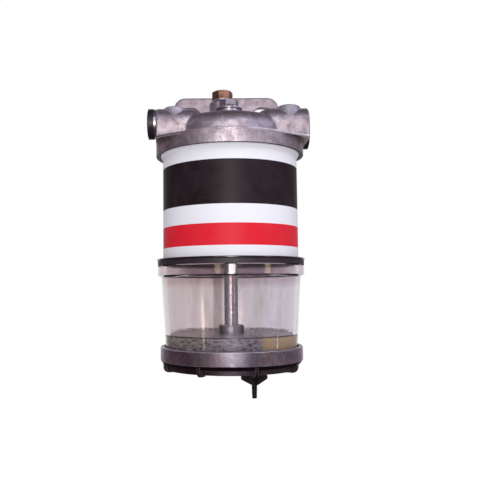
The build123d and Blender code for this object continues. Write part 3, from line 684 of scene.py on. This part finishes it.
def darkFinish(name, look):
    every = darks["all"]
    material, tree, surface = newFinish(name, IOR=every["ior"], Coat_Weight=look["coat"],
                                        Coat_Roughness=every["coatRough"], Specular_IOR_Level=look["shine"])
    rubbed = useGroup(tree, handling, Size=every["smearSize"], Scratches=every["scratches"])["Mask"]
    edges = useGroup(tree, softEdges, Radius=every["soft"], Gain=every["gain"])
    skin = noiseOn(tree, ownPlace(tree), look["grain"], **every["skin"])
    colour = blendColour(tree, ramp(tree, rubbed, every["rubSpan"]), look["tone"], look["rub"])
    colour = blendColour(tree, product(tree, edges["Edge"], every["edgeShare"]), colour, look["rub"])
    rough = ramp(tree, rubbed, (*every["roughSpan"], *look["rough"]))
    normal = bumpOver(tree, skin, edges["Normal"], *every["bump"])
    connect(tree, surface, Base_Color=colour, Roughness=rough, Normal=normal)
    return material


# Filter paper

paper = {"dark": rgb(196, 164, 104), "pale": rgb(224, 198, 146), "rough": 0.9, "bump": (0.08 * mm, 0.6),
         "fibre": {"scale": 2200.0, "detail": 5.0, "rough": 0.7}}


def filterPaper():
    material, tree, surface = newFinish("filterPaper", Roughness=paper["rough"])
    fibre = noiseOn(tree, ownPlace(tree), **paper["fibre"])
    normal = bumpOver(tree, fibre, plainNormal(tree), *paper["bump"])
    connect(tree, surface, Base_Color=blendColour(tree, fibre, paper["dark"], paper["pale"]), Normal=normal)
    return material


# Clear bowl, used: tinted warm on the left and cooler on the right as painted room light, with a film, dusty
# and finely streaked

bowl = {
    "ior": 1.5, "warm": rgb(227, 219, 221), "cool": rgb(229, 225, 232), "sideX": (-26 * mm, 22 * mm),
    "smearSize": 70.0, "scratches": 1.0, "scratchRough": 0.08, "hazeSpan": (0.35, 0.75), "rough": (0.0, 0.07),
    "streaks": {"scale": 130.0, "detail": 4.0, "rough": 0.6}, "streakStretch": (1.0, 1.0, 0.22),
    "film": rgb(208, 200, 199), "filmSpan": (0.42, 0.66), "filmX": (34 * mm, 26 * mm), "filmShare": 0.75,
    "dust": rgb(150, 138, 138), "motes": {"scale": 1100.0, "detail": 2.0, "rough": 0.7},
    "moteSpan": (0.62, 0.72), "dustShare": 0.5,
    # painted shade at the neck and the collar, where the glass is thicker
    "neckShade": rgb(238, 231, 232), "neckZ": (-124.5 * mm, -117.0 * mm),
    "collarShade": rgb(222, 214, 222), "collarZ": (-117.1 * mm, -115.1 * mm),
    "collarX": (34 * mm, 26 * mm), "collarRough": 0.08,
    # ragged line of dirt and painted shadow just over the base's ledge, on the back wall
    "lineDirtAndShadow": rgb(84, 70, 72), "lineTop": (-149.2 * mm, -149.9 * mm), "lineLow": (-152 * mm, -151 * mm),
    "lineY": (4 * mm, 14 * mm), "lineRagged": 3 * mm,
    "lineBreaks": {"scale": 700.0, "detail": 3.0, "rough": 0.7}, "breakSpan": (0.40, 0.56),
    # painted brown reflection of the post, down the back wall
    "postReflection": rgb(204, 188, 186), "postReflectionX": -7.6 * mm, "postReflectionHalf": (4.2 * mm, 2.2 * mm),
    "postReflectionY": (10 * mm, 30 * mm), "postReflectionPatch": (0.3, 0.6, 0.6, 1.0),
    "waves": {"scale": 55.0, "detail": 1.0}, "bump": (0.5 * mm, 0.12),
}


def bowlColour(tree, local, part, streaks, collar):
    # painted warm and cool light, film, dust, painted shade at the neck and collar, dirt line with painted
    # shadow, and painted post reflection, one over the other
    sideways = calc(tree, "ABSOLUTE", part["X"])
    # painted room light: warm on the left, cooler on the right
    colour = blendColour(tree, softRamp(tree, part["X"], bowl["sideX"]), bowl["warm"], bowl["cool"])
    cloudy = product(tree, softRamp(tree, streaks, bowl["filmSpan"]),
                     softRamp(tree, sideways, bowl["filmX"]), bowl["filmShare"])
    colour = blendColour(tree, cloudy, colour, bowl["film"])
    motes = ramp(tree, noiseOn(tree, local, **bowl["motes"]), bowl["moteSpan"])
    colour = blendColour(tree, product(tree, motes, bowl["dustShare"]), colour, bowl["dust"])
    # painted shade at the neck and the collar
    neck = softRamp(tree, part["Z"], bowl["neckZ"])
    colour = blendColour(tree, neck, colour, bowl["neckShade"], kind="MULTIPLY")
    colour = blendColour(tree, collar, colour, bowl["collarShade"], kind="MULTIPLY")
    # ragged line of dirt and painted shadow over the ledge
    ragged = calc(tree, "SUBTRACT", streaks, noiseMiddle)
    ragged = scaleAndAdd(tree, ragged, bowl["lineRagged"], part["Z"])
    broken = ramp(tree, noiseOn(tree, local, **bowl["lineBreaks"]), bowl["breakSpan"])
    line = product(tree, ramp(tree, ragged, bowl["lineTop"]), ramp(tree, part["Z"], bowl["lineLow"]),
                   ramp(tree, part["Y"], bowl["lineY"]), broken)
    colour = blendColour(tree, line, colour, bowl["lineDirtAndShadow"])
    # painted brown reflection of the post, down the back wall
    postReflection = product(tree, softRamp(tree, distanceTo(tree, part["X"], bowl["postReflectionX"]), bowl["postReflectionHalf"]),
                  ramp(tree, part["Y"], bowl["postReflectionY"]), ramp(tree, streaks, bowl["postReflectionPatch"]))
    return blendColour(tree, postReflection, colour, bowl["postReflection"], kind="MULTIPLY")


def bowlGlass():
    material, tree, surface = newFinish("bowlGlass", IOR=bowl["ior"], Transmission_Weight=1.0)
    rubbed = useGroup(tree, handling, Size=bowl["smearSize"], Scratches=bowl["scratches"])
    local, part = aroundAxis(tree)[:2]
    streaks = noiseOn(tree, stretched(tree, local, bowl["streakStretch"]), **bowl["streaks"])
    sideways = calc(tree, "ABSOLUTE", part["X"])
    collar = product(tree, ramp(tree, part["Z"], bowl["collarZ"]), softRamp(tree, sideways, bowl["collarX"]))
    haze = softRamp(tree, rubbed["Mask"], bowl["hazeSpan"])
    rough = ramp(tree, haze, (0.0, 1.0, *bowl["rough"]))
    rough = scaleAndAdd(tree, rubbed["Scratch"], bowl["scratchRough"], rough)
    rough = scaleAndAdd(tree, collar, bowl["collarRough"], rough)
    normal = bumpOver(tree, noiseOn(tree, local, **bowl["waves"]), plainNormal(tree), *bowl["bump"])
    colour = bowlColour(tree, local, part, streaks, collar)
    connect(tree, surface, Base_Color=colour, Roughness=rough, Normal=normal)
    return material


finishes = {
    "head_casting": headCasting(), "base_casting": baseCasting(),
    "zinc_steel": turnedFinish("zincSteel", metals["zinc"]), "brass": brassFinish(),
    "soft_washer": turnedFinish("softWasher", metals["washer"]),
    "tinned_steel": turnedFinish("tinnedSteel", metals["tinned"]), "can_enamel": canEnamel(),
    "plate_steel": darkFinish("lacqueredPlate", darks["plate"]),
    "plug_black": darkFinish("plugBlack", darks["plug"]),
    "seal_rubber": darkFinish("sealRubber", darks["rubber"]),
    "drain_plastic": darkFinish("drainPlastic", darks["drain"]), "filter_paper": filterPaper(),
    "bowl_glass": bowlGlass(),
}

for row in frame["record"]["subparts"]:
    mesh = nodes[row["node"]].data
    mesh.materials.clear()
    mesh.materials.append(finishes[row["material_slot"]])


# Settled film at the foot of the bowl: greenish on the left, bare in the middle, yellow-brown on the right

residue = {
    "topZ": -150.9, "lowZ": -160.0, "topR": 38.24, "lowR": 37.66, "thick": 0.35, "steps": 144,     # in mm
    "left": rgb(184, 186, 174), "leftX": (-16 * mm, -19 * mm), "middle": rgb(190, 182, 190),
    "right": rgb(230, 202, 152), "rightX": (14.5 * mm, 16.5 * mm), "rough": 0.62,
    "stretch": (1.0, 1.0, 2.6), "clumps": {"scale": 300.0, "detail": 5.0, "rough": 0.68},
    "stain": rgb(78, 74, 70), "stainSpan": (0.46, 0.60), "stainShare": 0.85, "stainRight": -0.75,
    "streaks": {"scale": 120.0, "detail": 3.0, "rough": 0.6, "warp": 0.8}, "pale": rgb(214, 210, 208),
    "paleSpan": (0.5, 0.7, 0.0, 0.35),
    "line": rgb(52, 40, 44), "lineZ": (-151.8 * mm, -151.2 * mm), "lineShare": 0.8,
}


def turnedRing(name, outline, steps):
    # a closed outline of (radius, height) in mm, turned about the filter's axis
    points, faces, count = [], [], len(outline)
    for step in range(steps):
        angle = math.tau * step / steps
        points += [(r * math.cos(angle) * mm, filterAxis.y + r * math.sin(angle) * mm, z * mm)
                   for r, z in outline]
    for step in range(steps):
        here, there = step * count, (step + 1) % steps * count
        faces += [(here + k, there + k, there + (k + 1) % count, here + (k + 1) % count)
                  for k in range(count)]
    mesh = bpy.data.meshes.new(name)
    mesh.from_pydata(points, [], faces)
    mesh.shade_smooth()
    mesh.set_sharp_from_angle(angle=crispAngle)
    piece = bpy.data.objects.new(name, mesh)
    bpy.context.scene.collection.objects.link(piece)
    return piece


def residueFilm():
    material, tree, surface = newFinish("residueFilm", Roughness=residue["rough"])
    local, part = aroundAxis(tree)[:2]
    flat = stretched(tree, local, residue["stretch"])
    clumps = noiseOn(tree, flat, **residue["clumps"])
    streaks = noiseOn(tree, flat, **residue["streaks"])
    toRight = ramp(tree, part["X"], residue["rightX"])
    colour = blendColour(tree, toRight, residue["middle"], residue["right"])
    colour = blendColour(tree, ramp(tree, part["X"], residue["leftX"]), colour, residue["left"])
    patchy = product(tree, ramp(tree, clumps, residue["stainSpan"]),
                     scaleAndAdd(tree, toRight, residue["stainRight"], residue["stainShare"]))
    colour = blendColour(tree, patchy, colour, residue["stain"])
    colour = blendColour(tree, ramp(tree, streaks, residue["paleSpan"]), colour, residue["pale"])
    edge = product(tree, ramp(tree, part["Z"], residue["lineZ"]), residue["lineShare"])
    connect(tree, surface, Base_Color=blendColour(tree, edge, colour, residue["line"]))
    return material


def makeResidue():
    topR, lowR, thick = residue["topR"], residue["lowR"], residue["thick"]
    outline = [(lowR - thick, residue["lowZ"]), (lowR, residue["lowZ"]), (topR, residue["topZ"]),
               (topR - thick, residue["topZ"])]
    piece = turnedRing("bowlResidue", outline, residue["steps"])
    piece.data.materials.append(residueFilm())
    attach(piece, "housing")


makeResidue()
print("stage: residue in the bowl")


# Threads, each one right-handed ridge wound by Geometry Nodes; sizes in mm

threads = {
    "inletPortThread": {"body": "housing", "slot": "head_casting", "start": (46.3, -65.0, -22.9),
                        "along": (-1, 0, 0), "rootR": 5.70, "crestR": 5.12, "pitch": 1.5, "turns": 7.2},
    "outletPortThread": {"body": "housing", "slot": "head_casting", "start": (-44.0, -35.0, -22.9),
                         "along": (1, 0, 0), "rootR": 5.70, "crestR": 5.12, "pitch": 1.5, "turns": 7.2},
    "ventPlugThread": {"body": "vent_plug", "slot": "brass", "start": (-3.5, -30.0, -3.3),
                       "along": (0, 0, 1), "rootR": 3.42, "crestR": 3.92, "pitch": 1.25, "turns": 3.7},
    "drainScrewThread": {"body": "drain_screw", "slot": "drain_plastic", "start": (11.9, -75.0, -172.4),
                         "along": (0, 0, 1), "rootR": 3.47, "crestR": 3.96, "pitch": 1.5, "turns": 3.3},
}
ridge = {
    "steps": 72,             # points in one turn
    "widthShare": 0.48,      # of the pitch
    "corners": 3,
    "ownHeight": 1.5,        # a three-point circle of radius 1 reaches 1 one way and 0.5 the other
}


def threadTree():
    # a three-sided ridge swept along a helix; Side is -1 where the thread points at its axis
    tree = bpy.data.node_groups.new("threadRidge", "GeometryNodeTree")
    face = tree.interface
    face.new_socket("Geometry", in_out="OUTPUT", socket_type="NodeSocketGeometry")
    for label in ("Mean Radius", "Height", "Pitch", "Turns", "Side"):
        face.new_socket(label, in_out="INPUT", socket_type="NodeSocketFloat")
    face.new_socket("Steps", in_out="INPUT", socket_type="NodeSocketInt")
    face.new_socket("Material", in_out="INPUT", socket_type="NodeSocketMaterial")
    given = tree.nodes.new("NodeGroupInput").outputs
    out = tree.nodes.new("NodeGroupOutput")
    helix = put(tree, "GeometryNodeCurveSpiral", {
        "Resolution": given["Steps"], "Rotations": given["Turns"], "Start Radius": given["Mean Radius"],
        "End Radius": given["Mean Radius"], "Height": product(tree, given["Turns"], given["Pitch"]),
        "Reverse": True})
    upright = put(tree, "GeometryNodeSetCurveNormal", {"Curve": helix.outputs[0]}, mode="Z_UP")
    profile = put(tree, "GeometryNodeCurvePrimitiveCircle", {"Resolution": ridge["corners"], "Radius": 1.0})
    reach = product(tree, calc(tree, "DIVIDE", given["Height"], ridge["ownHeight"]), given["Side"])
    width = product(tree, given["Pitch"], ridge["widthShare"])
    size = put(tree, "ShaderNodeCombineXYZ", {0: reach, 1: width, 2: 1.0}).outputs[0]
    shaped = put(tree, "GeometryNodeTransform", {"Geometry": profile.outputs[0], "Scale": size})
    swept = put(tree, "GeometryNodeCurveToMesh", {
        "Curve": upright.outputs[0], "Profile Curve": shaped.outputs[0], "Fill Caps": True})
    solid = put(tree, "GeometryNodeRealizeInstances", {"Geometry": swept.outputs[0]})
    painted = put(tree, "GeometryNodeSetMaterial", {
        "Geometry": solid.outputs[0], "Material": given["Material"]})
    tree.links.new(painted.outputs[0], out.inputs[0])
    return tree


def faceOutwards(mesh):
    shell = bmesh.new()
    shell.from_mesh(mesh)
    bmesh.ops.recalc_face_normals(shell, faces=shell.faces)
    shell.to_mesh(mesh)
    shell.free()


def makeThread(name, row, tree):
    side = 1.0 if row["crestR"] > row["rootR"] else -1.0
    height = abs(row["crestR"] - row["rootR"])
    values = {"Mean Radius": (row["rootR"] + side * height / 3) * mm, "Height": height * mm,
              "Pitch": row["pitch"] * mm, "Turns": row["turns"], "Side": side, "Steps": ridge["steps"],
              "Material": finishes[row["slot"]]}
    sockets = {item.name: item.identifier for item in tree.interface.items_tree if item.in_out == "INPUT"}
    piece = bpy.data.objects.new(name, bpy.data.meshes.new(name))
    bpy.context.scene.collection.objects.link(piece)
    maker = piece.modifiers.new("wound", "NODES")
    maker.node_group = tree
    for label, value in values.items():
        maker[sockets[label]] = value
    ready = bpy.data.meshes.new_from_object(piece.evaluated_get(bpy.context.evaluated_depsgraph_get()))
    piece.modifiers.clear()
    piece.data = ready
    turn = Vector((0, 0, 1)).rotation_difference(Vector(row["along"])).to_matrix().to_4x4()
    ready.transform(Matrix.Translation(Vector(row["start"]) * mm) @ turn)
    faceOutwards(ready)
    ready.shade_smooth()
    ready.set_sharp_from_angle(angle=crispAngle)
    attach(piece, row["body"])


ridgeTree = threadTree()
for threadName, threadRow in threads.items():
    makeThread(threadName, threadRow, ridgeTree)
print("stage: threads,", len(threads))


# The visual model must stay inside the CAD model's box


bpy.context.view_layer.update()
